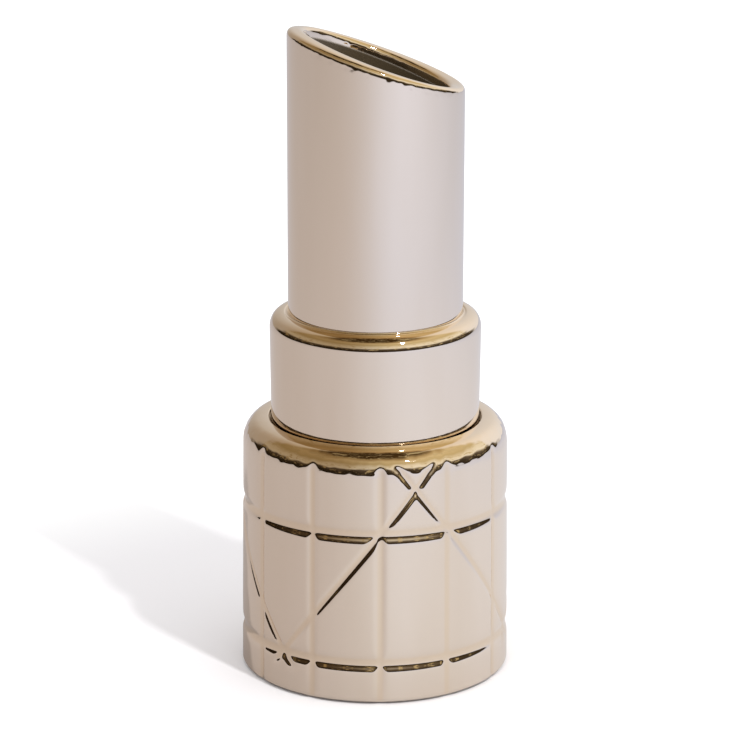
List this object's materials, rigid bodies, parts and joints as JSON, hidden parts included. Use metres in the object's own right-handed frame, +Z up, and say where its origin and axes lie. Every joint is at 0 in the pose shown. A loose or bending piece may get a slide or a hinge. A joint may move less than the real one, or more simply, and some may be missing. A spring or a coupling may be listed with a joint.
{
  "type": "lipstick-shaped vase",
  "caption": "Hollow mirror-glazed ceramic vase in the shape of an open lipstick: a grooved drum, a plain collar and a tube with a slanted, rounded mouth.",
  "frame": {"origin": "centre of the underside, on the surface the vase stands on", "axes": "+Z up along the tiers' common axis; +X towards the low side of the slanted mouth"},
  "size_m": [0.111, 0.111, 0.2673],
  "materials": {
    "mirror_glaze": "champagne-gold mirror glaze over fired clay",
    "pad_rubber": "soft matte"
  },
  "bodies": {
    "root": {"base_drum": "mirror_glaze", "collar": "mirror_glaze", "bullet_tube": "mirror_glaze", "collar_luting_ring": "mirror_glaze", "tube_luting_ring": "mirror_glaze", "foot_pad_1": "pad_rubber", "foot_pad_2": "pad_rubber", "foot_pad_3": "pad_rubber", "foot_pad_4": "pad_rubber"}
  },
  "joints": []
}
